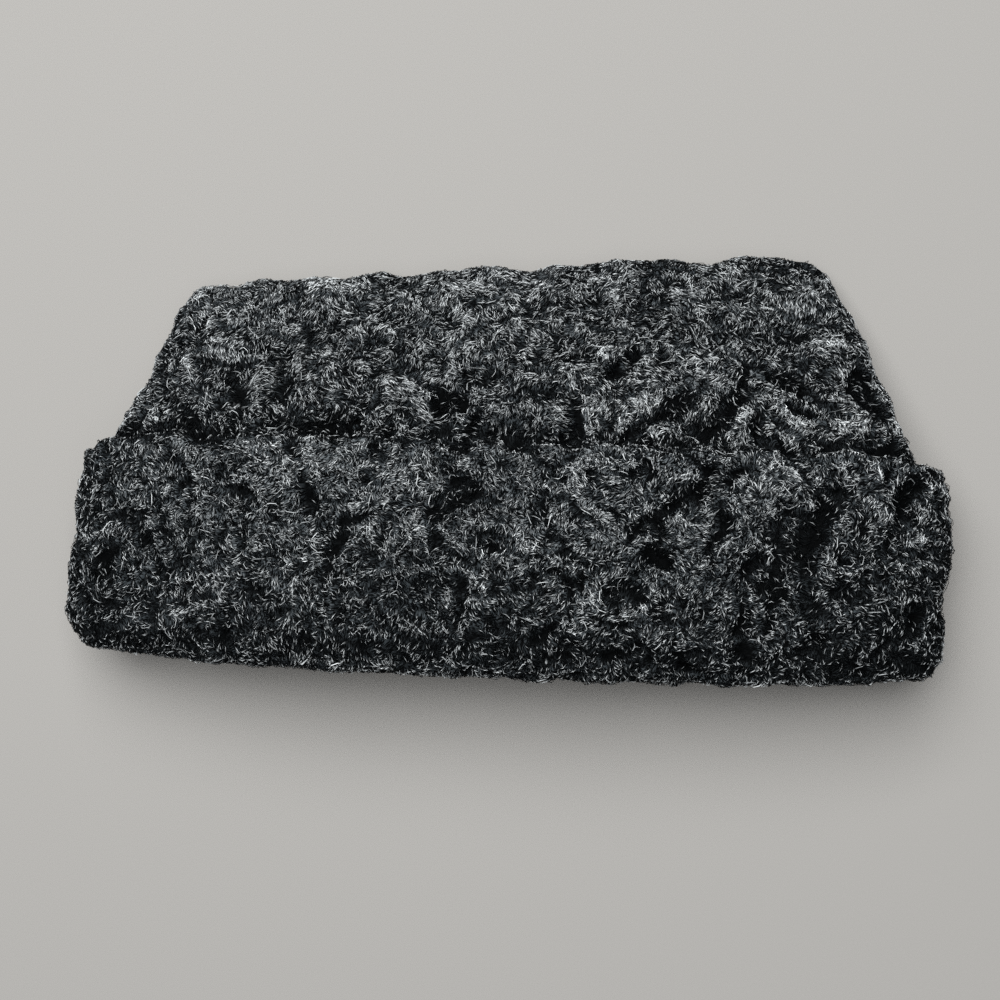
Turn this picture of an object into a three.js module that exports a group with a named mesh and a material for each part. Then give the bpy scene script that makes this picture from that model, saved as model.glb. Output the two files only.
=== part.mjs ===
// A soft karakul hat of the kubanka family, folded flat and lying on its side: a tapering crown, and a deep
// cuff that is turned up round it. Millimetres, +Z up. +X runs towards the hat's front, +Y from the head
// opening towards the crown's ridge, and the hat lies on the plane Z = 0.
import * as THREE from 'three';

const { clamp, lerp } = THREE.MathUtils;

// The hat as it lies
const cuff_length = 304.5;       // over the fur, from the back fold to the front fold
const cuff_depth = 78;           // from the hem to the cuff's edge
const lying_height = 52;         // from the surface it lies on to the top of the cuff
const crown_rise_back = 59;      // from the cuff's edge to the ridge, at the back
const crown_rise_front = 74;     // the same at the front
const ridge_height = 19;         // over the ridge, where the two sides of the crown meet

// Walls: pelt and pile together
const cuff_wall = 7;
const crown_wall = 7.5;
const crown_wall_in_cuff = 5;    // its pile is pressed flat behind the cuff
const lip_wall = 3;              // the hem's strip that is turned inside
const lip_depth = 13;
const seat_gap = 0.5;            // between the crown and what holds it
const hem_roll = 9;              // how far the hem's roll reaches past the crown
const edge_roll = 3;             // the rounding along the cuff's edge
const ridge_roll = 10;           // the rounding along the ridge
const fur_spring = 7;            // how far above the cuff's edge the crown's pile stands full again

// The relief of the curls, and how finely it is modelled
const curl_height = 3.4;
const curl_length = 21;
const columns = 96;              // round each section, an even number
const cuff_rows = 14;
const crown_rows = 12;
const hollow_rows = 4;
const roll_rows = 3;

// The form of the folds
const end_sharpness = 9;         // how closely the rise or fall of an end keeps to the end
const widest_at = 0.46;          // height of the end folds, in heights of the section
const upper_fullness = 2.7;      // the upper side is a flat arch
const lower_fullness = 3.6;      // the lower side is flattened by what it lies on
const ridge_turn = 0.44 * Math.PI;   // how far each side turns in before the two meet along the ridge
const hollow_end = 0.4;          // height left of the hollow where its two sides meet, of its full height

const half_length = cuff_length / 2;

// Outlines of the cuff's outer face. share: from the hem (0) to the cuff's edge (1). back, front: the reach
// of each end, in half lengths. bow: how far the middle runs ahead towards the ridge, and back_drop,
// front_drop: how far each end falls behind it, in cuff depths.
const cuff_outlines = [
  { share: 0.00, back: 0.978, front: 0.972, bow: -0.045, back_drop: -0.03, front_drop: -0.02 },
  { share: 0.20, back: 0.982, front: 0.988, bow: -0.020, back_drop: -0.02, front_drop: 0.00 },
  { share: 0.55, back: 0.985, front: 0.997, bow: 0.000, back_drop: 0.00, front_drop: 0.00 },
  { share: 0.85, back: 0.990, front: 0.998, bow: -0.010, back_drop: 0.03, front_drop: 0.03 },
  { share: 1.00, back: 0.985, front: 0.990, bow: -0.020, back_drop: 0.07, front_drop: 0.08 },
];

// Heights of the cuff's two sides at the same shares, in lying heights. Below 0, the side is pressed flat.
const cuff_heights = [
  { share: 0.00, top: 0.91, bottom: 0.030 },
  { share: 0.20, top: 0.98, bottom: -0.030 },
  { share: 0.55, top: 1.00, bottom: -0.035 },
  { share: 0.85, top: 0.98, bottom: -0.030 },
  { share: 1.00, top: 0.95, bottom: -0.010 },
];

// Sections of the crown above the cuff. share: from the cuff's edge (0) to the ridge (1). back, front: in
// half lengths of the cuff. back_drop, front_drop: in rises of the crown. top: from the cuff's share of the
// lying height (1) to the ridge's height (0). bottom: in lying heights.
const crown_sections = [
  { share: 0.00, back: 0.920, front: 0.920, back_drop: 0.00, front_drop: 0.00, top: 1.00, bottom: 0.070 },
  { share: 0.25, back: 0.880, front: 0.875, back_drop: 0.01, front_drop: 0.01, top: 0.80, bottom: 0.020 },
  { share: 0.50, back: 0.847, front: 0.832, back_drop: 0.02, front_drop: 0.02, top: 0.55, bottom: -0.015 },
  { share: 0.80, back: 0.815, front: 0.772, back_drop: 0.02, front_drop: 0.02, top: 0.20, bottom: -0.025 },
  { share: 1.00, back: 0.775, front: 0.712, back_drop: 0.05, front_drop: 0.04, top: 0.00, bottom: -0.010 },
];

// The main dents of the upper side. along: from the centre, in half lengths; across: from the hem, in cuff
// depths; reach_along, reach_across: in the same units; depth: in wall thicknesses of the cuff.
const dents = [
  { along: 0.62, across: 0.50, reach_along: 0.07, reach_across: 0.42, depth: 0.42 },
  { along: 0.37, across: 0.78, reach_along: 0.10, reach_across: 0.12, depth: 0.35 },
  { along: -0.36, across: 0.62, reach_along: 0.10, reach_across: 0.20, depth: 0.30 },
  { along: -0.78, across: 0.52, reach_along: 0.09, reach_across: 0.25, depth: 0.25 },
  { along: -0.15, across: 1.30, reach_along: 0.06, reach_across: 0.16, depth: 0.40 },
  { along: -0.60, across: 1.28, reach_along: 0.14, reach_across: 0.14, depth: 0.35 },
  { along: 0.55, across: 1.42, reach_along: 0.12, reach_across: 0.14, depth: 0.30 },
];

// Waves whose sum is the relief of the curls: each one's direction, its length in curl lengths, its phase.
const curl_waves = [
  { x: 0.95, y: 0.31, z: 0.20, length: 1.00, phase: 0.4 },
  { x: -0.52, y: 0.83, z: 0.31, length: 1.08, phase: 2.1 },
  { x: 0.24, y: 0.95, z: -0.35, length: 0.94, phase: 4.0 },
  { x: 0.78, y: -0.60, z: 0.40, length: 1.16, phase: 5.2 },
  { x: -0.90, y: -0.12, z: 0.55, length: 0.90, phase: 1.3 },
];

// One section as numbers, between the two rows of a table that enclose the share.
function row_at(table, share) {
  const place = clamp(share, table[0].share, table.at(-1).share);
  const next = Math.max(1, table.findIndex((row) => row.share >= place));
  const [low, high] = [table[next - 1], table[next]];
  const mix = (place - low.share) / (high.share - low.share);
  return Object.fromEntries(Object.keys(low).map((key) => [key, lerp(low[key], high[key], mix)]));
}

// The section of the cuff's outer face at a share of its depth.
function cuff_section(share) {
  const row = row_at(cuff_outlines, share);
  const height = row_at(cuff_heights, share);
  return {
    back: -half_length * row.back,
    front: half_length * row.front,
    y_back: cuff_depth * share,
    y_front: cuff_depth * share,
    bow: cuff_depth * row.bow,
    back_drop: cuff_depth * row.back_drop,
    front_drop: cuff_depth * row.front_drop,
    top: lying_height * height.top,
    bottom: lying_height * height.bottom,
  };
}

// The section of the crown's outer face at a share of its rise above the cuff.
function crown_section(share) {
  const row = row_at(crown_sections, share);
  const start = inset(cuff_section(1), cuff_wall + seat_gap + crown_wall_in_cuff - crown_wall);
  const rise = lerp(crown_rise_back, crown_rise_front, 0.5);
  return {
    back: -half_length * row.back,
    front: half_length * row.front,
    y_back: cuff_depth + crown_rise_back * share,
    y_front: cuff_depth + crown_rise_front * share,
    bow: start.bow * (1 - share),
    back_drop: rise * row.back_drop,
    front_drop: rise * row.front_drop,
    top: lerp(ridge_height, start.top, row.top),
    bottom: lying_height * row.bottom,
  };
}

// The same section, drawn in by a wall's thickness.
function inset(section, wall) {
  return {
    ...section,
    back: section.back + wall,
    front: section.front - wall,
    top: section.top - wall,
    bottom: section.bottom + wall,
  };
}

// A section whose height is drawn together towards its middle, as where two sides close on each other.
function closed_in(section, share) {
  const middle = (section.top + section.bottom) / 2;
  return {
    ...section,
    top: lerp(middle, section.top, share),
    bottom: lerp(middle, section.bottom, share),
  };
}

// The upper or the lower half of a section, from its front end to its back end.
class HalfSection extends THREE.Curve {
  constructor(section, upper) {
    super();
    this.section = section;
    this.upper = upper;
    this.arcLengthDivisions = 400;
  }

  getPoint(t, target = new THREE.Vector3()) {
    const { back, front, y_back, y_front, bow, back_drop, front_drop, top, bottom } = this.section;
    const fullness = this.upper ? upper_fullness : lower_fullness;
    const along = Math.sin(Math.PI * (0.5 - t));
    const height = (1 - Math.abs(along) ** fullness) ** (1 / fullness);
    const middle = lerp(bottom, top, widest_at);
    const x = (front + back) / 2 + along * (front - back) / 2;
    const end = Math.abs(along) ** end_sharpness * (along < 0 ? back_drop : front_drop);
    const y = lerp(y_back, y_front, (along + 1) / 2) + bow * (1 - along ** 2) - end;
    return target.set(x, y, middle + height * ((this.upper ? top : bottom) - middle));
  }
}

// The ring of points round a section: over the top to the back, and under it to the front again.
function ring(section, pile = 0) {
  const over = new HalfSection(section, true).getSpacedPoints(columns / 2);
  const under = new HalfSection(section, false).getSpacedPoints(columns / 2).reverse();
  return { pile, points: [...over.slice(0, -1), ...under.slice(0, -1)] };
}

// The body whose skin runs from ring to ring. An open row of rings is closed by a ribbon at each end, and a
// looped one runs from its last ring to its first. The curls then raise it where a ring has pile.
function body(rings, looped) {
  const faces = [];
  const quad = (a, b, c, d) => {
    if (a !== b && b !== c && c !== a) faces.push(a, b, c);
    if (a !== c && c !== d && d !== a) faces.push(a, c, d);
  };
  rings.forEach((_, row) => {
    const here = row * columns;
    const next = ((row + 1) % rings.length) * columns;
    if (row + 1 === rings.length && !looped) return;
    for (let i = 0; i < columns; i += 1) {
      const j = (i + 1) % columns;
      quad(here + i, next + i, next + j, here + j);
    }
  });
  if (!looped) {
    const last = (rings.length - 1) * columns;
    for (let i = 0; i < columns / 2; i += 1) {
      const [j, below, below_next] = [i + 1, (columns - i) % columns, columns - i - 1];
      quad(i, j, below_next, below);
      quad(last + i, last + below, last + below_next, last + j);
    }
  }
  const geometry = new THREE.BufferGeometry().setFromPoints(rings.flatMap((r) => r.points));
  geometry.setIndex(faces);
  return raised(geometry, rings.flatMap((r) => r.points.map(() => r.pile)));
}

// How far the curls stand out at a point, from -0.5 to 0.5 curl heights.
function curl_relief(point) {
  const sum = curl_waves.reduce((total, wave) => {
    const turns = (wave.x * point.x + wave.y * point.y + wave.z * point.z) / (curl_length * wave.length);
    return total + Math.cos(2 * Math.PI * turns + wave.phase);
  }, 0);
  return curl_height * clamp(sum / curl_waves.length, -0.5, 0.5);
}

// How deep the dents are at a point of the upper side.
function dent_depth(point, normal) {
  return dents.reduce((total, dent) => {
    const along = (point.x / half_length - dent.along) / dent.reach_along;
    const across = (point.y / cuff_depth - dent.across) / dent.reach_across;
    return total + cuff_wall * dent.depth * Math.exp(-(along ** 2 + across ** 2));
  }, 0) * Math.max(0, normal.z);
}

// Raises the curls where there is pile, presses in the dents, and flattens what lies on the ground.
function raised(geometry, pile) {
  geometry.computeVertexNormals();
  const { position, normal } = geometry.attributes;
  const [point, out] = [new THREE.Vector3(), new THREE.Vector3()];
  for (let i = 0; i < position.count; i += 1) {
    point.fromBufferAttribute(position, i);
    out.fromBufferAttribute(normal, i);
    point.addScaledVector(out, pile[i] * (curl_relief(point) - dent_depth(point, out)));
    position.setXYZ(i, point.x, point.y, Math.max(0, point.z));
  }
  geometry.computeVertexNormals();
  return geometry;
}

// Evenly spaced values from one to another, both included.
function steps(from, to, count) {
  return Array.from({ length: count + 1 }, (_, i) => lerp(from, to, i / count));
}

// What lies in the hem's channel, from the cuff's outer face inwards
const crown_inset = cuff_wall + seat_gap;
const lip_inset = crown_inset + crown_wall_in_cuff + seat_gap;
const hem_inset = lip_inset + lip_wall;
const channel_share = hem_roll / cuff_depth;
const crown_hem_share = (hem_roll + seat_gap) / cuff_depth;
const edge_share = 1 - edge_roll / cuff_depth;
const lip_share = (hem_roll + lip_depth) / cuff_depth;
const seat_shares = [crown_hem_share, lip_share, lerp(lip_share, edge_share, 0.5), edge_share];

// The cuff: its outer face from the hem up, the rounded edge, the inner face down to the channel that holds
// the crown's hem, the lip that is turned inside, and the hem's roll back to the outer face.
function cuff_rings() {
  const outer = steps(channel_share, edge_share, cuff_rows).map((share) => ring(cuff_section(share), 1));
  const edge = steps(0, Math.PI, roll_rows).slice(1, -1).map((angle) => {
    const share = lerp(edge_share, 1, Math.sin(angle));
    const inward = (1 - Math.cos(angle)) / 2;
    return ring(inset(cuff_section(share), cuff_wall * inward), Math.max(0, Math.cos(angle)));
  });
  const inner = [...seat_shares].reverse().map((share) => ring(inset(cuff_section(share), cuff_wall)));
  const lip = [
    ring(inset(cuff_section(channel_share), cuff_wall)),
    ring(inset(cuff_section(channel_share), lip_inset)),
    ring(inset(cuff_section(lip_share), lip_inset)),
    ring(inset(cuff_section(lip_share), hem_inset)),
    ring(inset(cuff_section(channel_share), hem_inset)),
  ];
  const roll = steps(0, Math.PI, 2 * roll_rows).slice(1, -1).map((angle) => {
    const share = channel_share * (1 - Math.sin(angle));
    const outward = (1 - Math.cos(angle)) / 2;
    return ring(inset(cuff_section(share), hem_inset * (1 - outward)), outward);
  });
  return [...outer, ...edge, ...inner, ...lip, ...roll];
}

// The crown: from where the two sides of the hollow meet below the ridge down its inner face, round the hem,
// up behind the cuff, and up the outer face to the ridge.
function crown_rings() {
  const rise = Math.min(crown_rise_back, crown_rise_front);
  const roll_share = 1 - ridge_roll / rise;
  const spring_share = fur_spring / rise;
  const hollow_share = roll_share - (crown_wall - ridge_roll / 2) / rise;
  const hollow = steps(hollow_share, spring_share, hollow_rows).map((share, i) => ring(
    closed_in(inset(crown_section(share), crown_wall), i === 0 ? hollow_end : 1),
  ));
  const in_hem = [...seat_shares].reverse().map((share) => ring(
    inset(cuff_section(share), crown_inset + crown_wall_in_cuff),
  ));
  const behind_cuff = [...seat_shares, 1].map((share) => ring(inset(cuff_section(share), crown_inset)));
  const outer = steps(spring_share, roll_share, crown_rows).map((share) => ring(crown_section(share), 1));
  const ridge = steps(0, ridge_turn, roll_rows).slice(1).map((angle) => ring(
    closed_in(crown_section(roll_share + (1 - roll_share) * Math.sin(angle)), Math.cos(angle)),
    1,
  ));
  return [...hollow, ...in_hem, ...behind_cuff, ...outer, ...ridge];
}

const karakul = (lightness) => new THREE.MeshStandardMaterial({
  color: new THREE.Color(lightness, lightness, lightness * 1.08),
  roughness: 0.6,
  metalness: 0,
});

const crown = new THREE.Mesh(body(crown_rings(), false), karakul(0.03));
crown.name = 'crown';
const cuff = new THREE.Mesh(body(cuff_rings(), true), karakul(0.025));
cuff.name = 'cuff';

// The origin is under the middle of the hat, on the plane that it lies on.
const hat = new THREE.Group();
hat.add(crown, cuff);
const box = new THREE.Box3().setFromObject(hat);
const middle = box.getCenter(new THREE.Vector3());
hat.position.set(-middle.x, -middle.y, -box.min.z);

export default hat;
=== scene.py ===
import math

import bpy
import numpy as np
from mathutils import Matrix, Vector
from mathutils.bvhtree import BVHTree
from mathutils.kdtree import KDTree


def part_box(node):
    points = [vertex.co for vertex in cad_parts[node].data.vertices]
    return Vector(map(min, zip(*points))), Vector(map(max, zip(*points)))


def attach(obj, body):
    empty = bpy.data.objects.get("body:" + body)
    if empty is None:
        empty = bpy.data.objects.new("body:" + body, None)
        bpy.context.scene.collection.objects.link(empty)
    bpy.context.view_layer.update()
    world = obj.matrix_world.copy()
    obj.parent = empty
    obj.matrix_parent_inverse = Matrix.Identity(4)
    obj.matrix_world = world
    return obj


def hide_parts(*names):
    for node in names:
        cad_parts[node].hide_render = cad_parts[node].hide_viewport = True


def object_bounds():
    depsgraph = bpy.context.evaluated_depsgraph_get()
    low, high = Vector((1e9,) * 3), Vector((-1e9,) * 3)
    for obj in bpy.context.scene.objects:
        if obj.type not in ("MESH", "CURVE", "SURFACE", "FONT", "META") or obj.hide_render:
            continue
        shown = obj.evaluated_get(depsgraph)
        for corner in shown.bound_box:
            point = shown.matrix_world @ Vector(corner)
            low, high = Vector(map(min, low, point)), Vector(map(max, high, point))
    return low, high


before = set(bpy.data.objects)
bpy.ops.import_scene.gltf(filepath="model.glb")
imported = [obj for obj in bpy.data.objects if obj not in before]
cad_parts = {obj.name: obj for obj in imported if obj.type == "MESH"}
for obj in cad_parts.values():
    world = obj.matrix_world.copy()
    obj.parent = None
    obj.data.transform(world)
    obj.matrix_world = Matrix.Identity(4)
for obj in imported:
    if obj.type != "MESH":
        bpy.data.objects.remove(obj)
cad_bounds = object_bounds()

MM = 0.001

# The curls of each piece. roll: from one big roll of curls to the next; lock: the same for the small
# ridges; tuft: the same for the tufts that both are made of. roll_depth, lock_depth, tuft_depth: how
# deep the pits between them go. sway: how far the pattern is pushed about. tousle: the angle, in
# degrees, that the tufts' lies are spread over.
CURLS = {
    "crown": {"seed": 11, "roll": 19.0, "lock": 14.0, "tuft": 8.5,
              "roll_depth": 2.1, "lock_depth": 1.2, "tuft_depth": 1.2, "sway": 3.4, "tousle": 60},
    "cuff": {"seed": 27, "roll": 15.0, "lock": 11.0, "tuft": 7.0,
             "roll_depth": 1.6, "lock_depth": 1.0, "tuft_depth": 1.2, "sway": 3.0, "tousle": 100},
}

# The form of the curls, in the values of their waves, which lie around 0 and mostly between -2 and 2.
roll_steps = (-1.6, 0.3)    # where a roll starts to rise and where it is full
lock_width = 0.75           # how far a small ridge goes to both sides of 0
tuft_flank = 0.55           # how far into a tuft its flank goes, in tuft lengths
tuft_least = 0.45           # the lowest tufts, as a share of the highest

# The biggest hollows of the upper side. along: from the hat's middle, in half lengths; across: from the
# hem, in cuff depths, like both reaches; turn: of the longer reach from +X, in degrees.
HOLLOWS = {
    "crown": (
        {"along": -0.74, "across": 1.05, "reach": (0.06, 0.045), "turn": 0},
        {"along": -0.62, "across": 1.17, "reach": (0.09, 0.055), "turn": -55},
        {"along": -0.52, "across": 1.06, "reach": (0.07, 0.040), "turn": 10},
        {"along": -0.39, "across": 1.06, "reach": (0.11, 0.045), "turn": 5},
        {"along": -0.13, "across": 1.16, "reach": (0.08, 0.045), "turn": -60},
        {"along": -0.07, "across": 1.08, "reach": (0.06, 0.035), "turn": 85},
        {"along": 0.38, "across": 1.17, "reach": (0.09, 0.060), "turn": 15},
        {"along": 0.48, "across": 1.11, "reach": (0.08, 0.040), "turn": 60},
        {"along": 0.57, "across": 1.10, "reach": (0.08, 0.030), "turn": 75},
        {"along": 0.63, "across": 1.29, "reach": (0.20, 0.040), "turn": -25},
        {"along": 0.81, "across": 1.25, "reach": (0.12, 0.030), "turn": -65},
    ),
    "cuff": (
        {"along": 0.67, "across": 0.65, "reach": (0.17, 0.055), "turn": 60},
        {"along": 0.60, "across": 0.45, "reach": (0.20, 0.030), "turn": 85},
        {"along": 0.48, "across": 0.66, "reach": (0.12, 0.040), "turn": 80},
        {"along": 0.38, "across": 0.73, "reach": (0.18, 0.050), "turn": 40},
        {"along": 0.34, "across": 0.50, "reach": (0.10, 0.030), "turn": 40},
        {"along": 0.12, "across": 0.20, "reach": (0.06, 0.040), "turn": 70},
        {"along": -0.08, "across": 0.74, "reach": (0.13, 0.040), "turn": 35},
        {"along": -0.33, "across": 0.56, "reach": (0.14, 0.035), "turn": 60},
        {"along": -0.87, "across": 0.45, "reach": (0.09, 0.035), "turn": 50},
        {"along": -0.77, "across": 0.55, "reach": (0.05, 0.035), "turn": 0},
        {"along": 0.90, "across": 0.85, "reach": (0.14, 0.025), "turn": 50},
    ),
}
hollow_depth = 1.8          # how much deeper the pile goes in them
hollow_wobble = 1.6         # how far their edges wander
hollow_edge = 2.2           # where their rims are, as the square of the distance in reaches
hollow_shading = 0.85       # the share of the tone that painted shade takes from their middles
upper_side = (0, 0.4)       # how far up a face looks where the hollows start and where they are full

# How deep the pits go from place to place, as shares of the depths in the curls' table.
PIT_DEPTHS = {"ridge": 0.5, "crown": 1.0, "foot": 1.55, "cuff_back": 0.75, "cuff_front": 1.15,
              "upright_faces": 0.5}

# How much painted shade darkens the pile's tone from place to place, as shares.
PAINTED_SHADE = {"folds": 0.35, "ridge": 0.45, "behind_cuff": 0.55, "upper_edge": 0.75, "hem": 0.45,
        "hem_line": 0.5, "cuff_ends": 0.25}
cuff_unshaded = 1.12           # the cuff's tone where no painted shade takes from it

# Where these changes, in the pits' depths and in the painted shade, start and where they are full, along
# the hat (x) or across it (y).
below_ridge = (60, 25)      # y, from the ridge's shallow pits to the crown's usual ones
crown_foot = (22, 8)        # y, from there to the deeper ones above the cuff
cuff_pits = (-60, 60)       # x, from the back fold's shallow pits to the front fold's deep ones
ridge_shade = (60, 76)       # y
behind_cuff = (10, 5)       # y
hem_shade = (-12, -68)       # y
hem_line = -67              # y, the line along the hem's fold where the painted shade is darkest
hem_line_width = 3
cuff_middle = -12           # x, where the cuff has the least painted shade
cuff_ends = (70, 145)       # the distance from there to both sides
fold_turn = (0.2, 0.75)     # the normal's part along x, from the flat of the hat to its folds
edge_turn = (0.3, 0.75)     # the normal's part along y, from the cuff's face to its upper edge

# How the cuff's upper edge draws back between its curls. length: from one of its curls to the next. back:
# how far it draws back. reach: how far below the edge the pull starts. steps: the waves' values where it
# starts and where it is full. stretch: how the waves are scaled along x, y and z. strips: the parts of the
# cuff's length in which the edge is looked for.
UPPER_EDGE = {"seed": 71, "length": 13.0, "back": 2.6, "reach": 9, "steps": (-0.2, -1.4),
              "stretch": (1, 0.2, 0.6), "strips": 60}

# Where the pile grows, and how it lies.
pile_start = (0.06, 0.3)    # the share of open directions where it starts and where it is full
least_pile = 0.02           # below this share a face is bare skin
full_bulge = (-1.2, 0.45)   # how far off the mean face the pile is at its flattest and at its fullest, from the darkest painted shade of the pits to none
mean_rounds = 15            # how often the face is drawn smooth to find that mean face
ridge_rounds = 4            # the same for the lines that run over the ridges
line_ends = (0.5, 0.8, 0.3)    # the way that such a line points at first
swirl_turns = 0.15          # how easily a swirl turns it round
swirl_bends = 0.35          # how far a swirl bends it

# The fibres of each piece, each one a bundle of a few hairs. length, width: of one fibre. bend: the most
# it turns, in degrees. lift: how far its back stands off the pelt. stretches: straight lengths in it.
FIBRES = {
    "crown_pile": {"on": "crown", "seed": 3, "count": 33000, "length": 3.4, "width": 0.30, "bend": 50,
                   "lift": 0.3, "stretches": 2},
    "crown_locks": {"on": "crown", "seed": 4, "count": 30500, "length": 4.0, "width": 0.32, "bend": 70,
                    "lift": 0.5, "stretches": 2},
    "crown_curls": {"on": "crown", "seed": 5, "count": 2000, "length": 6.0, "width": 0.30, "bend": 170,
                    "lift": 0.7, "stretches": 3},
    "cuff_pile": {"on": "cuff", "seed": 6, "count": 33000, "length": 3.0, "width": 0.28, "bend": 70,
                  "lift": 0.3, "stretches": 2},
    "cuff_locks": {"on": "cuff", "seed": 7, "count": 30500, "length": 3.5, "width": 0.29, "bend": 90,
                   "lift": 0.55, "stretches": 2},
    "cuff_curls": {"on": "cuff", "seed": 8, "count": 2000, "length": 6.0, "width": 0.30, "bend": 220,
                   "lift": 0.8, "stretches": 3},
}

# Where the fibres are rooted.
underside = 0.22            # how thickly they grow on faces that look down, as a share
facing_steps = (-0.9, 0.3)  # how far up a face looks from there to where they grow in full
hollow_growth = 0.6         # how thickly they grow in the pits, as a share
full_growth = (0.05, 0.5)   # the fullness and its painted shade from there to where they grow in full
rooted_pile = 0.3           # the least pile that has fibres
pressed_height = 0.3        # below this the hat rests on its pile, and there are none
clearance = 0.1             # how far a root goes into the pelt and the fibre stays off it
above_ground = 0.02         # the lowest that a fibre lies

# How much the fibres differ, as shares of the values in their table, and in radians for the way.
length_spread = (0.6, 1.4)
lift_spread = (0.4, 1.5)
width_spread = (0.7, 1.25)
own_way = 0.12
own_bend = 0.15
arch_start = 0.1            # where a fibre's root lies on the arch of its back, in half turns
arch_length = 0.8           # and how much of that arch it follows

# How light the fibres are, each pair from the darkest to the lightest of them.
# The shining fibres carry painted highlights in their colour; the tufts' darker flanks are painted shade;
# strands, tufts and patches differ at random.
strand_shares = (0.4, 1.0)
strand_steps = (-1.2, 0.5)  # the strands' waves from dark to light
flank_shade = (0.45, 1.0)
tuft_shares = (0.6, 1.0)
patch_shares = (0.75, 1.2)
patch_steps = (-1.4, 1.4)   # the patches' waves from dark to light
shining_least = 0.12        # the share of the fibres with a painted highlight in the dark places
shining_more = 1.4          # and what full light adds to it
shining_tones = (0.2, 1.0)
shining_in_pits = 0.5       # how light such a fibre is in the dark places, as a share
dull_tones = (0, 0.07)
# Each fibre's middle is lighter than its root and tip: a painted highlight on the crest of its arch.
root_tone = 0.1             # how light a fibre's root is against its middle
tip_tone = 0.2              # the same for its tip

skin_left = 1.2             # the least that the pits leave of a wall
merge_distance = 0.01       # the solids' corners closer than this are one


# Arrays of vectors

def unit(vectors):
    """The same vectors with length 1."""
    return vectors / np.maximum(np.linalg.norm(vectors, axis=1, keepdims=True), 1e-9)


def along_surface(vectors, normals):
    """What is left of each vector once the part along its normal is taken off."""
    return vectors - (vectors * normals).sum(1)[:, None] * normals


def ramp(values, low, high):
    """0 below low, 1 above high, and a soft step between them."""
    share = np.clip((values - low) / (high - low), 0, 1)
    return share * share * (3 - 2 * share)


def between(low, high, share):
    """What lies at a share of the way from low to high."""
    return low + (high - low) * share


class Waves:
    """A smooth random field: plane waves of about one length in every direction, added up."""

    count = 36
    spread = (0.8, 1.25)

    def __init__(self, seed, length):
        draw = np.random.default_rng(seed)
        direction = unit(draw.normal(size=(self.count, 3)))
        lengths = length * MM * draw.uniform(*self.spread, self.count)
        self.turns = 2 * math.pi * direction / lengths[:, None]
        self.start = draw.uniform(0, 2 * math.pi, self.count)
        self.scale = math.sqrt(2 / self.count)

    def __call__(self, points):
        return self.scale * np.cos(points @ self.turns.T + self.start).sum(1)


class WaveVectors:
    """The same for vectors."""

    def __init__(self, seed, length):
        self.parts = [Waves(seed + i, length) for i in range(3)]

    def __call__(self, points):
        return np.stack([part(points) for part in self.parts], 1)


class Tufts:
    """The space, shared out between scattered middles: a tuft is what lies nearest to one of them."""

    def __init__(self, seed, size):
        draw = np.random.default_rng(seed)
        self.size = size * MM
        low, high = (np.array(corner) for corner in cad_bounds)
        steps = [np.arange(a - self.size, b + self.size, self.size) for a, b in zip(low, high)]
        middles = np.stack(np.meshgrid(*steps, indexing="ij"), -1).reshape(-1, 3)
        middles += draw.uniform(-0.5, 0.5, middles.shape) * self.size
        self.own = draw.random((len(middles), 4))
        self.tree = KDTree(len(middles))
        for i, middle in enumerate(middles):
            self.tree.insert(middle, i)
        self.tree.balance()

    def __call__(self, points):
        """Four numbers of its tuft's own for each point, and how far inside it the point is: 0 to 1."""
        found = np.empty(len(points), int)
        inside = np.empty(len(points))
        for i, point in enumerate(points):
            (_, found[i], near), (_, _, next_near) = self.tree.find_n(point, 2)
            inside[i] = (next_near - near) / self.size
        return self.own[found].T, ramp(inside, 0, tuft_flank)


class Relief:
    """The curls of one piece: how far its pile stands off the mean face, and how its fibres swirl."""

    push_length = 2         # in rolls
    strand_length = 0.28    # in locks
    patch_length = 3        # in locks

    def __init__(self, sizes):
        seed = sizes["seed"]
        self.sizes = sizes
        self.push = WaveVectors(seed, self.push_length * sizes["roll"])
        self.rolls = Waves(seed + 10, sizes["roll"])
        self.locks = Waves(seed + 20, sizes["lock"])
        self.swirl = WaveVectors(seed + 30, sizes["lock"])
        self.strands = Waves(seed + 50, self.strand_length * sizes["lock"])
        self.patches = Waves(seed + 70, self.patch_length * sizes["lock"])
        self.tufts = Tufts(seed + 60, sizes["tuft"])

    def pushed(self, points):
        return points + self.sizes["sway"] * MM * self.push(points)

    def height(self, points):
        """0 on top of the rolls, and less down in the pits."""
        points = self.pushed(points)
        rolls = ramp(self.rolls(points), *roll_steps)
        locks = np.exp(-(self.locks(points) / lock_width) ** 2)
        own, inside = self.tufts(points)
        tufts = inside * between(tuft_least, 1, own[0])
        return MM * (self.sizes["roll_depth"] * (rolls - 1) + self.sizes["lock_depth"] * (locks - 1)
                     + self.sizes["tuft_depth"] * (tufts - 1))


# Meshes

def select_only(piece):
    bpy.ops.object.select_all(action="DESELECT")
    piece.select_set(True)
    bpy.context.view_layer.objects.active = piece


def corners(mesh):
    """Every corner's place and normal."""
    place = np.empty(3 * len(mesh.vertices), np.float32)
    mesh.vertices.foreach_get("co", place)
    normal = np.empty(3 * len(mesh.vertices), np.float32)
    mesh.vertices.foreach_get("normal", normal)
    return place.reshape(-1, 3).astype(float), normal.reshape(-1, 3).astype(float)


def triangles(mesh):
    """The corners of every triangle of a mesh."""
    mesh.calc_loop_triangles()
    found = np.empty(3 * len(mesh.loop_triangles), np.int32)
    mesh.loop_triangles.foreach_get("vertices", found)
    return found.reshape(-1, 3)


def tree_of(meshes):
    """A search tree over the faces of several meshes."""
    places, faces, count = [], [], 0
    for mesh in meshes:
        place, _ = corners(mesh)
        places.append(place)
        faces.append(triangles(mesh) + count)
        count += len(place)
    return BVHTree.FromPolygons(np.concatenate(places).tolist(), np.concatenate(faces).tolist())


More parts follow.
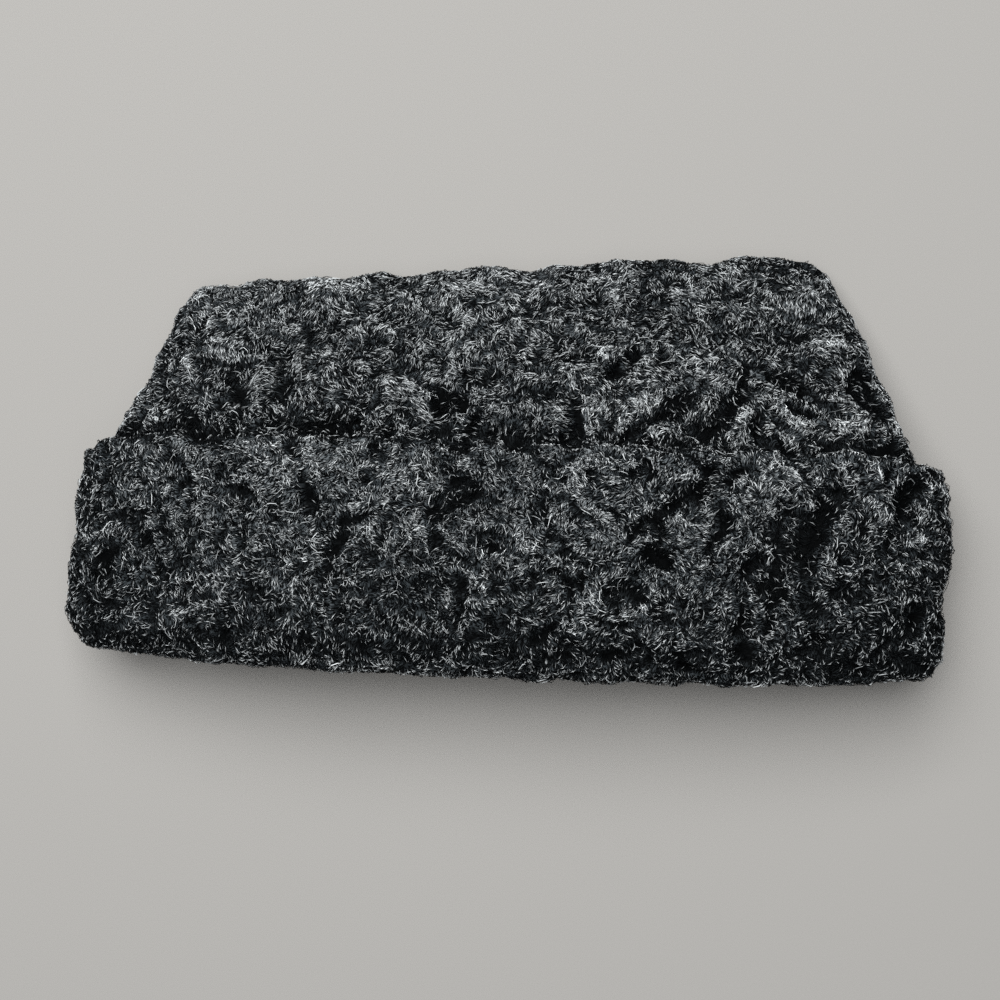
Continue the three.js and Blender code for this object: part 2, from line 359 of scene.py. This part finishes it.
def copy_of_solid(node, name):
    """A copy of a solid of the frame with its doubles merged, its faces squared up and rounded once."""
    piece = bpy.data.objects.new(name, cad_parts[node].data.copy())
    piece.data.materials.clear()
    bpy.context.scene.collection.objects.link(piece)
    select_only(piece)
    bpy.ops.object.mode_set(mode="EDIT")
    bpy.ops.mesh.select_all(action="SELECT")
    bpy.ops.mesh.customdata_custom_splitnormals_clear()
    bpy.ops.mesh.remove_doubles(threshold=merge_distance * MM)
    bpy.ops.mesh.tris_convert_to_quads(face_threshold=math.pi, shape_threshold=math.pi)
    bpy.ops.object.mode_set(mode="OBJECT")
    rounding = piece.modifiers.new("rounding", "SUBSURF")
    rounding.levels = rounding.render_levels = 1
    bpy.ops.object.modifier_apply(modifier=rounding.name)
    return piece


def openness(mesh, tree, rays=20, reach=0.5, off_the_face=0.4 * MM):
    """For every corner, the share of the directions above it that meet nothing: 0 between walls."""
    place, normal = corners(mesh)
    directions = unit(np.random.default_rng(1).normal(size=(rays, 3)))
    free = np.zeros(len(place))
    for i, (start, out) in enumerate(zip(place, normal)):
        start = Vector(start + off_the_face * out)
        for direction in directions:
            way = direction if direction @ out > 0 else -direction
            if tree.ray_cast(start, Vector(way), reach)[0] is None:
                free[i] += 1 / rays
    return free


def carry(mesh, name, values):
    """Stores a number or a vector for each corner, for the materials and for the fibres."""
    kind, key = ("FLOAT", "value") if values.ndim == 1 else ("FLOAT_VECTOR", "vector")
    layer = mesh.attributes.new(name, kind, "POINT")
    layer.data.foreach_set(key, values.astype(np.float32).ravel())


def carried(mesh, name):
    layer = mesh.attributes[name]
    if layer.data_type == "FLOAT":
        values = np.empty(len(mesh.vertices), np.float32)
        layer.data.foreach_get("value", values)
        return values.astype(float)
    values = np.empty(3 * len(mesh.vertices), np.float32)
    layer.data.foreach_get("vector", values)
    return values.reshape(-1, 3).astype(float)


def move_corners(mesh, place):
    mesh.vertices.foreach_set("co", place.astype(np.float32).ravel())
    mesh.update()


def drawn_smooth(mesh, values, rounds):
    """Each corner's values after they are drawn towards its neighbours' values, again and again."""
    ends = np.empty(2 * len(mesh.edges), np.int32)
    mesh.edges.foreach_get("vertices", ends)
    a, b = ends.reshape(-1, 2).T
    size = len(values)
    neighbours = np.bincount(ends, minlength=size)[:, None]
    for _ in range(rounds):
        near = [np.bincount(a, part[b], size) + np.bincount(b, part[a], size) for part in values.T]
        values = (values + np.stack(near, 1) / neighbours) / 2
    return values


def inner_tree(mesh, with_pile):
    """A search tree over the faces that carry no pile."""
    bare = [face.vertices[:] for face in mesh.polygons if max(with_pile[i] for i in face.vertices) == 0]
    return BVHTree.FromPolygons([corner.co[:] for corner in mesh.vertices], bare)


def room_below(place, inner):
    """How deep each corner may go before too little of the wall is left."""
    distance = np.array([inner.find_nearest(point)[3] for point in place])
    return np.maximum(distance - skin_left * MM, 0)


def wavy_edge(place):
    """Draws the cuff's upper edge back between its curls, the inner face with the outer one."""
    x, y, _ = place.T
    strips = np.linspace(x.min(), x.max(), UPPER_EDGE["strips"])
    strip = np.digitize(x, strips)
    top = np.array([place[strip == i, 1].max(initial=-1) for i in range(1, len(strips))])
    below_edge = np.interp(x, (strips[1:] + strips[:-1]) / 2, top) - y
    wave = Waves(UPPER_EDGE["seed"], UPPER_EDGE["length"])(place * UPPER_EDGE["stretch"])
    pull = ramp(wave, *UPPER_EDGE["steps"]) * ramp(below_edge, UPPER_EDGE["reach"] * MM, 0)
    place[:, 1] -= UPPER_EDGE["back"] * MM * pull


def depth_by_place(node, place):
    """How much deeper or shallower the pits are from place to place."""
    x, y, _ = place.T / MM
    if node == "cuff":
        return between(PIT_DEPTHS["cuff_back"], PIT_DEPTHS["cuff_front"], ramp(x, *cuff_pits))
    depth = between(PIT_DEPTHS["ridge"], PIT_DEPTHS["crown"], ramp(y, *below_ridge))
    return depth + (PIT_DEPTHS["foot"] - PIT_DEPTHS["crown"]) * ramp(y, *crown_foot)


def inside_hollows(node, place, normal, relief):
    """How far inside the biggest hollows each point is: 1 in their middles, 0 outside and underneath."""
    low, high = (Vector(corner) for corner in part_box("cuff"))
    cuff_depth = high.y - low.y
    x, y, _ = (place + hollow_wobble * MM * relief.swirl(place)).T
    deepest = np.zeros(len(place))
    for hollow in HOLLOWS[node]:
        turn = math.radians(hollow["turn"])
        east = (x - hollow["along"] * high.x) / cuff_depth
        north = (y - low.y) / cuff_depth - hollow["across"]
        along = (east * math.cos(turn) + north * math.sin(turn)) / hollow["reach"][0]
        aside = (north * math.cos(turn) - east * math.sin(turn)) / hollow["reach"][1]
        deepest = np.maximum(deepest, ramp(along ** 2 + aside ** 2, hollow_edge, 0))
    return deepest * ramp(normal[:, 2], *upper_side)


def painted_shade_by_place(node, place, normal):
    """Painted shade on the pile's tone, as a share: darker along the hem and the line of its fold, at the
    folds and the cuff's ends, on the cuff's upper edge, up to the crown's ridge and behind the cuff.
    """
    x, y, _ = place.T / MM
    folds = 1 - PAINTED_SHADE["folds"] * ramp(np.abs(normal[:, 0]), *fold_turn)
    if node == "crown":
        ridge = 1 - PAINTED_SHADE["ridge"] * ramp(y, *ridge_shade)
        foot = 1 - PAINTED_SHADE["behind_cuff"] * ramp(y, *behind_cuff)
        return folds * ridge * foot
    upper_edge = 1 - PAINTED_SHADE["upper_edge"] * ramp(normal[:, 1], *edge_turn)
    hem = cuff_unshaded - PAINTED_SHADE["hem"] * ramp(y, *hem_shade)
    hem *= 1 - PAINTED_SHADE["hem_line"] * np.exp(-((y - hem_line) / hem_line_width) ** 2)
    ends = 1 - PAINTED_SHADE["cuff_ends"] * ramp(np.abs(x - cuff_middle), *cuff_ends)
    return upper_edge * hem * folds * ends


def across_ridges(mesh, uphill):
    """The line that runs over the ridges at each corner, crests and pits included."""
    pairs = (uphill[:, :, None] * uphill[:, None, :]).reshape(-1, 9)
    spread = drawn_smooth(mesh, pairs, ridge_rounds).reshape(-1, 3, 3)
    line = np.linalg.eigh(spread)[1][:, :, 2]
    return line * np.where(line @ line_ends < 0, -1, 1)[:, None]


def cut_finer(piece, surroundings):
    """Finds where a pelt carries pile and cuts the faces there in four. Gives a tree of the others."""
    mesh = piece.data
    carry(mesh, "pile", ramp(openness(mesh, surroundings), *pile_start))
    with_pile = carried(mesh, "pile")
    for face in mesh.polygons:
        face.select = max(with_pile[i] for i in face.vertices) > 0
    for edge in mesh.edges:
        edge.select = all(with_pile[i] > 0 for i in edge.vertices)
    inner = inner_tree(mesh, with_pile)
    select_only(piece)
    bpy.ops.object.mode_set(mode="EDIT")
    bpy.ops.mesh.select_mode(type="FACE")
    bpy.ops.mesh.subdivide(number_cuts=1)
    bpy.ops.object.mode_set(mode="OBJECT")
    return inner


def comb(mesh, place, mean_normal, relief):
    """Lays the pile over the curls: the way that it lies at each corner, and the line across it."""
    _, normal = corners(mesh)
    uphill = -along_surface(normal, mean_normal)
    over_ridges = across_ridges(mesh, uphill)
    carry(mesh, "across", np.cross(over_ridges, normal))
    swirl = relief.swirl(place)
    onwards = np.sign(((uphill + swirl_turns * swirl) * over_ridges).sum(1))[:, None]
    carry(mesh, "lie", unit(along_surface(onwards * over_ridges + swirl_bends * swirl, normal)))


def raise_curls(piece, node, relief, surroundings):
    """Makes a copy of a solid the pelt of its piece, with curls raised on the faces that are seen."""
    mesh = piece.data
    inner = cut_finer(piece, surroundings)
    place, normal = corners(mesh)
    pile = carried(mesh, "pile")
    level = between(PIT_DEPTHS["upright_faces"], 1, np.abs(normal[:, 2])) * depth_by_place(node, place)
    hollow = inside_hollows(node, place, normal, relief)
    depth = pile * (hollow_depth * MM * hollow - level * relief.height(place))
    depth = np.minimum(depth, room_below(place, inner))
    place -= depth[:, None] * normal
    if node == "cuff":
        wavy_edge(place)
    place[:, 2] = np.maximum(place[:, 2], 0)
    mean_place = drawn_smooth(mesh, place, mean_rounds)
    move_corners(mesh, mean_place)
    _, mean_normal = corners(mesh)
    move_corners(mesh, place)
    bulge = ((place - mean_place) * mean_normal).sum(1) / MM
    # Painted shade: the tone gets darker in the pits, in the big hollows and by place; the same value sets
    # how thickly the fibres grow.
    fullness_and_shade = ramp(bulge, *full_bulge) * (1 - hollow_shading * hollow)
    carry(mesh, "fullness_and_shade", fullness_and_shade * painted_shade_by_place(node, place, mean_normal))
    comb(mesh, place, mean_normal, relief)
    for face in mesh.polygons:
        face.use_smooth = True
        face.material_index = int(max(pile[i] for i in face.vertices) < least_pile)


# Fibres

def roots(mesh, count, draw):
    """Roots spread over the faces that carry pile: their place, normal, lie, and the pile's fullness with
    its painted shade.
    """
    place, normal = corners(mesh)
    faces = triangles(mesh)
    pile, fullness_and_shade = carried(mesh, "pile"), carried(mesh, "fullness_and_shade")
    a, b, c = (place[faces[:, i]] for i in range(3))
    across = np.cross(b - a, c - a)
    area = np.linalg.norm(across, axis=1) / 2
    facing = across[:, 2] / np.maximum(2 * area, 1e-12)
    seen = between(underside, 1, ramp(facing, *facing_steps))
    thick = between(hollow_growth, 1, ramp(fullness_and_shade[faces].mean(1), *full_growth))
    pressed = place[faces][:, :, 2].max(1) < pressed_height * MM
    chance = area * seen * thick * (pile[faces].min(1) > rooted_pile) * ~pressed
    chosen = draw.choice(len(faces), count, p=chance / chance.sum())
    u, v = draw.random((2, count))
    over = u + v > 1
    u[over], v[over] = 1 - u[over], 1 - v[over]
    weights = np.stack([1 - u - v, u, v], 1)[:, :, None]

    def mix(values):
        return (values[faces[chosen]] * weights).sum(1)

    lie = carried(mesh, "lie")[faces[chosen, 0]]
    return mix(place), unit(mix(normal)), lie, mix(fullness_and_shade[:, None])[:, 0]


def settled(tree, points, lift):
    """The points, brought to their own height over the pelt, and the pelt's normals under them."""
    places, normals = np.empty_like(points), np.empty_like(points)
    for i, point in enumerate(points):
        place, normal, _, _ = tree.find_nearest(point)
        places[i] = place
        normals[i] = normal
    return places + lift[:, None] * normals, normals


def turned(vectors, axes, angles):
    """Vectors at right angles to their axes, turned round them."""
    return np.cos(angles)[:, None] * vectors + np.sin(angles)[:, None] * np.cross(axes, vectors)


def tones(root, fullness_and_shade, tuft, inside, relief, draw):
    """How light each fibre is: some carry a painted highlight, most of them where the pile is full and its
    painted shade least. The others are dull.
    """
    light = fullness_and_shade * between(*strand_shares, ramp(relief.strands(root), *strand_steps))
    light *= between(*flank_shade, inside) * between(*tuft_shares, tuft)
    light *= between(*patch_shares, ramp(relief.patches(root), *patch_steps))
    shining = draw.random(len(root)) < shining_least + shining_more * light
    bright = draw.uniform(*shining_tones, len(root)) * between(shining_in_pits, 1, light)
    dull = draw.uniform(*dull_tones, len(root))
    return np.where(shining, bright, dull)


def fibres(name, sizes, backing, relief):
    """One field of fibres that start in the pelt and lie over its curls."""
    draw = np.random.default_rng(sizes["seed"])
    count, stretches = sizes["count"], sizes["stretches"]
    tree = tree_of([backing.data])
    root, normal, way, fullness_and_shade = roots(backing.data, count, draw)
    own, inside = relief.tufts(relief.pushed(root))
    swerve = math.radians(relief.sizes["tousle"]) * (own[1] - 0.5) + draw.normal(0, own_way, count)
    way = turned(unit(along_surface(way, normal)), normal, swerve)
    step = sizes["length"] * MM * draw.uniform(*length_spread, count) / stretches
    curl = 2 * (own[2] - 0.5) + draw.normal(0, own_bend, count)
    turn = np.radians(sizes["bend"]) * curl / stretches
    most_lift = sizes["lift"] * MM * draw.uniform(*lift_spread, count)
    point = root
    line, normals = [root - clearance * MM * normal], [normal]
    for stretch in range(1, stretches + 1):
        way = turned(unit(along_surface(way, normal)), normal, turn)
        arch = math.sin(math.pi * (arch_start + arch_length * stretch / stretches))
        lift = most_lift * arch + clearance * MM
        point, normal = settled(tree, point + step[:, None] * way, lift)
        line.append(point)
        normals.append(normal)
    radius = sizes["width"] / 2 * MM * draw.uniform(*width_spread, count)
    tone = tones(root, fullness_and_shade, own[3], inside, relief, draw)
    return hair_mesh(name, line, normals, radius, tone)


def hair_mesh(name, line, normals, radius, tone):
    """Closed spindles along the given lines: one corner at each end, and rings of three between them."""
    count = len(radius)
    rings = [line[0]]
    for before, here, after, normal in zip(line, line[1:], line[2:], normals[1:]):
        along = unit(after - before)
        side = unit(np.cross(along, normal))
        up = np.cross(side, along)
        for angle in (math.pi / 2, math.pi * 7 / 6, math.pi * 11 / 6):
            rings.append(here + radius[:, None] * (math.cos(angle) * side + math.sin(angle) * up))
    rings.append(line[-1])
    place = np.stack(rings, 1)
    place[:, :, 2] = np.maximum(place[:, :, 2], above_ground * MM)
    tip = len(rings) - 1
    last_ring = tip - 4
    faces = []
    for side in range(3):
        a, b = 1 + side, 1 + (side + 1) % 3
        faces.append((a, b, 0))
        for ring in range(0, last_ring, 3):
            faces += [(b + ring, a + ring, a + ring + 3), (b + ring, a + ring + 3, b + ring + 3)]
        faces.append((b + last_ring, a + last_ring, tip))
    every = (np.arange(count)[:, None, None] * (tip + 1) + np.array(faces)).reshape(-1, 3)
    mesh = bpy.data.meshes.new(name)
    mesh.vertices.add(count * (tip + 1))
    mesh.vertices.foreach_set("co", place.astype(np.float32).ravel())
    mesh.loops.add(every.size)
    mesh.loops.foreach_set("vertex_index", every.astype(np.int32).ravel())
    mesh.polygons.add(len(every))
    mesh.polygons.foreach_set("loop_start", np.arange(0, every.size, 3, dtype=np.int32))
    mesh.update(calc_edges=True)
    mesh.validate()
    mesh.polygons.foreach_set("use_smooth", np.ones(len(every), bool))
    # Painted highlight: each fibre is lightest in its middle, darker at its root and tip.
    along_hair = np.array([root_tone] + [1.0] * (tip - 1) + [tip_tone])
    carry(mesh, "tone", (tone[:, None] * along_hair).ravel())
    piece = bpy.data.objects.new(name, mesh)
    bpy.context.scene.collection.objects.link(piece)
    return piece


# Materials

# The pile's black where it carries painted highlights and where it is dark.
LIGHT_TINT = (0.955, 1.0, 1.01)
DARK_TINT = (0.79, 1.0, 1.14)
dark_fall = 8               # how soon the dark tint is gone as the pile gets lighter

# The painted grain of the pelt. cell: the width of one of its small locks. fibre: the width of a fibre in
# it. push: how often the locks' edges bend, in one cell. change: how often the grain changes along a
# fibre, in the same way. apart: how far the grains of two locks may lie apart.
GRAIN = {"cell": 3.6, "fibre": 0.32, "push": 0.7, "change": 2.4, "apart": 9.0}
streak_steps = (0.48, 0.62)    # the grain's values from dark to light
middle_steps = (1.0, 0.4)      # the distance from a lock's middle where its streaks start and are full; they fade towards its edges as painted shade between the locks

pelt_lightness = 0.045
HAIR_LIGHTNESS = {"crown": 0.9, "cuff": 0.92}


class Nodes:
    """The node tree of a new material, with short ways to add to it."""

    def __init__(self, name):
        self.material = bpy.data.materials.new(name)
        self.material.use_nodes = True
        self.tree = self.material.node_tree
        self.shader = self.tree.nodes["Principled BSDF"]

    def add(self, kind, inputs=(), **settings):
        node = self.tree.nodes.new(kind)
        for key, value in settings.items():
            setattr(node, key, value)
        for place, value in dict(inputs).items():
            self.feed(node, place, value)
        return node

    def feed(self, node, place, value):
        if isinstance(value, bpy.types.NodeSocket):
            self.tree.links.new(value, node.inputs[place])
        else:
            node.inputs[place].default_value = value

    def maths(self, operation, *values):
        return self.add("ShaderNodeMath", dict(enumerate(values)), operation=operation).outputs[0]

    def vector(self, operation, *values, output=0):
        node = self.add("ShaderNodeVectorMath", dict(enumerate(values)), operation=operation)
        return node.outputs[output]

    def scaled(self, vector, scale):
        node = self.add("ShaderNodeVectorMath", {0: vector, "Scale": scale}, operation="SCALE")
        return node.outputs[0]

    def carried(self, name):
        return self.add("ShaderNodeAttribute", attribute_name=name).outputs["Fac"]

    def ramp(self, value, *stops):
        node = self.add("ShaderNodeValToRGB", {"Fac": value})
        while len(node.color_ramp.elements) < len(stops):
            node.color_ramp.elements.new(0.5)
        for element, (place, colour) in zip(node.color_ramp.elements, stops):
            element.position = place
            element.color = (*colour, 1)
        return node.outputs["Color"]


def cool(lightness):
    """The pile's black at a lightness: cool where it is dark, and nearly neutral where it shines."""
    dark = (1 - lightness) ** dark_fall
    return tuple(lightness * between(light, deep, dark) for light, deep in zip(LIGHT_TINT, DARK_TINT))


def fibre_grain(nodes):
    """A grain of fine fibres that lie side by side within small locks, the way that the pile lies."""
    place = nodes.scaled(nodes.add("ShaderNodeTexCoord").outputs["Object"], 1 / (GRAIN["cell"] * MM))
    push = nodes.add("ShaderNodeTexNoise", {"Vector": place, "Scale": GRAIN["push"], "Detail": 1.0})
    place = nodes.vector("ADD", place, push.outputs["Color"])
    lock = nodes.add("ShaderNodeTexVoronoi", {"Vector": place, "Scale": 1.0})
    within = nodes.vector("SUBTRACT", place, lock.outputs["Position"])
    axis = nodes.add("ShaderNodeAttribute", attribute_name="across").outputs["Vector"]
    across = nodes.vector("DOT_PRODUCT", within, axis, output="Value")
    spread = nodes.scaled(axis, nodes.maths("MULTIPLY", across, GRAIN["cell"] / GRAIN["fibre"]))
    grain = nodes.vector("ADD", nodes.vector("MULTIPLY", within, (GRAIN["change"],) * 3), spread)
    grain = nodes.vector("ADD", grain, nodes.scaled(lock.outputs["Color"], GRAIN["apart"]))
    grain = nodes.add("ShaderNodeTexNoise", {"Vector": grain, "Scale": 1.0, "Detail": 0.0}).outputs["Fac"]
    return grain, lock.outputs["Distance"]


def stepped(nodes, value, low, high):
    """0 at low and 1 at high, for a value of the shader."""
    step = nodes.add("ShaderNodeMapRange", {"Value": value, "From Min": low, "From Max": high})
    return step.outputs["Result"]


def pelt_material(name):
    """The pile close to the skin: painted shade makes it near black in the pits and darker at the edges of
    its small locks, with a grain of fine fibres in them.
    """
    nodes = Nodes(name)
    grain, from_middle = fibre_grain(nodes)
    streaks = stepped(nodes, grain, *streak_steps)
    # Painted shade: the streaks darken towards the locks' edges, and go near black in the pits and the
    # shaded places.
    streaks = nodes.maths("MULTIPLY", streaks, stepped(nodes, from_middle, *middle_steps))
    shade = nodes.maths("MULTIPLY", streaks, nodes.maths("POWER", nodes.carried("fullness_and_shade"), 1.5))
    colour = nodes.ramp(shade, (0.0, cool(0.001)), (0.4, cool(pelt_lightness)),
                        (1.0, cool(4 * pelt_lightness)))
    nodes.feed(nodes.shader, "Base Color", colour)
    nodes.feed(nodes.shader, "Roughness", 0.8)
    nodes.feed(nodes.shader, "Specular IOR Level", 0.03)
    bump = nodes.add("ShaderNodeBump", {"Height": grain, "Strength": 1.0, "Distance": 0.4 * MM})
    nodes.feed(nodes.shader, "Normal", bump.outputs["Normal"])
    return nodes.material


def hair_material(name, lightness):
    """Black hairs, some of them light with painted highlights in their colour."""
    nodes = Nodes(name)
    tone = nodes.carried("tone")
    colour = nodes.ramp(tone, (0.0, cool(0.002 * lightness)), (0.1, cool(0.006 * lightness)),
                        (0.3, cool(0.25 * lightness)), (0.9, cool(lightness)))
    nodes.feed(nodes.shader, "Base Color", colour)
    nodes.feed(nodes.shader, "Roughness", 0.35)
    nodes.feed(nodes.shader, "Specular IOR Level", 0.05)
    return nodes.material


def skin_material():
    """The skin side of the pelt, dyed with the pile: dull and slightly napped."""
    nodes = Nodes("skin_side")
    place = nodes.add("ShaderNodeTexCoord").outputs["Object"]
    nap = nodes.add("ShaderNodeTexNoise", {"Vector": place, "Scale": 900.0, "Detail": 3.0})
    patches = nodes.add("ShaderNodeTexNoise", {"Vector": place, "Scale": 45.0, "Detail": 2.0})
    colour = nodes.ramp(patches.outputs["Fac"], (0.3, (0.010, 0.010, 0.010)), (0.7, (0.022, 0.021, 0.020)))
    nodes.feed(nodes.shader, "Base Color", colour)
    nodes.feed(nodes.shader, "Roughness", 0.9)
    nodes.feed(nodes.shader, "Specular IOR Level", 0.15)
    bump = nodes.add("ShaderNodeBump", {"Height": nap.outputs["Fac"], "Strength": 0.5,
                                        "Distance": 0.2 * MM})
    nodes.feed(nodes.shader, "Normal", bump.outputs["Normal"])
    return nodes.material


# The hat

def dress():
    """Makes both pelts and their fibres, attaches them to the root body and hides the solids that they
    stand for.
    """
    pelts = {node: copy_of_solid(node, node + "_pelt") for node in CURLS}
    surroundings = tree_of([piece.data for piece in pelts.values()])
    skin = skin_material()
    reliefs = {node: Relief(sizes) for node, sizes in CURLS.items()}
    for node, relief in reliefs.items():
        raise_curls(pelts[node], node, relief, surroundings)
        pelts[node].data.materials.append(pelt_material(node + "_pelt"))
        pelts[node].data.materials.append(skin)
    hair = {node: hair_material(node + "_hair", lightness) for node, lightness in HAIR_LIGHTNESS.items()}
    finished = [(piece, node) for node, piece in pelts.items()]
    for name, sizes in FIBRES.items():
        node = sizes["on"]
        piece = fibres(name, sizes, pelts[node], reliefs[node])
        piece.data.materials.append(hair[node])
        finished.append((piece, node))
    for piece, node in finished:
        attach(piece, "root")
        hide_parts(node)


# Floor, light and camera

FLOOR_COLOUR = (0.252, 0.246, 0.234, 1)
floor_below = 0.2           # how far it lies below the hat
ROOM_COLOUR = (0.9, 0.95, 1.0, 1)
room_strength = 0.11

# Both lights are squares that face the hat. In metres and watts.
LIGHTS = {
    "window": {"place": (-0.25, 0.5, 1.4), "size": 1.6, "power": 50},
    "ceiling": {"place": (0.1, -0.3, 1.6), "size": 1.5, "power": 10},
}


def studio():
    bpy.ops.mesh.primitive_plane_add(size=6, location=(0, 0, -floor_below * MM))
    floor = bpy.context.object
    floor.name = "floor"
    nodes = Nodes("floor")
    nodes.feed(nodes.shader, "Base Color", FLOOR_COLOUR)
    nodes.feed(nodes.shader, "Roughness", 0.9)
    floor.data.materials.append(nodes.material)
    world = bpy.data.worlds.new("room")
    world.use_nodes = True
    world.node_tree.nodes["Background"].inputs["Color"].default_value = ROOM_COLOUR
    world.node_tree.nodes["Background"].inputs["Strength"].default_value = room_strength
    bpy.context.scene.world = world
    for name, sizes in LIGHTS.items():
        bpy.ops.object.light_add(type="AREA", location=sizes["place"])
        light = bpy.context.object
        light.name = name
        light.data.shape = "SQUARE"
        light.data.size = sizes["size"]
        light.data.energy = sizes["power"]
        light.rotation_euler = Vector(sizes["place"]).to_track_quat("Z", "Y").to_euler()


CAMERA_PLACE = Vector((0.0394, -0.0716, 0.4979))
CAMERA_TARGET = Vector((-0.0012, -0.0148, 0.0220))
CAMERA_TURN = math.radians(2.35)    # the picture's own turn against the hat's length


def camera():
    """Nearly straight above, a little towards the head opening and the front fold."""
    back = (CAMERA_PLACE - CAMERA_TARGET).normalized()
    right = Vector((-math.sin(CAMERA_TURN), math.cos(CAMERA_TURN), 0)).cross(back).normalized()
    axes = Matrix((right, back.cross(right), back)).transposed()
    bpy.ops.object.camera_add(location=CAMERA_PLACE, rotation=axes.to_euler())
    bpy.context.object.data.lens = 50
    bpy.context.scene.camera = bpy.context.object


camera()
studio()
dress()
bpy.context.scene.view_settings.view_transform = "Standard"
bpy.context.scene.cycles.use_denoising = False
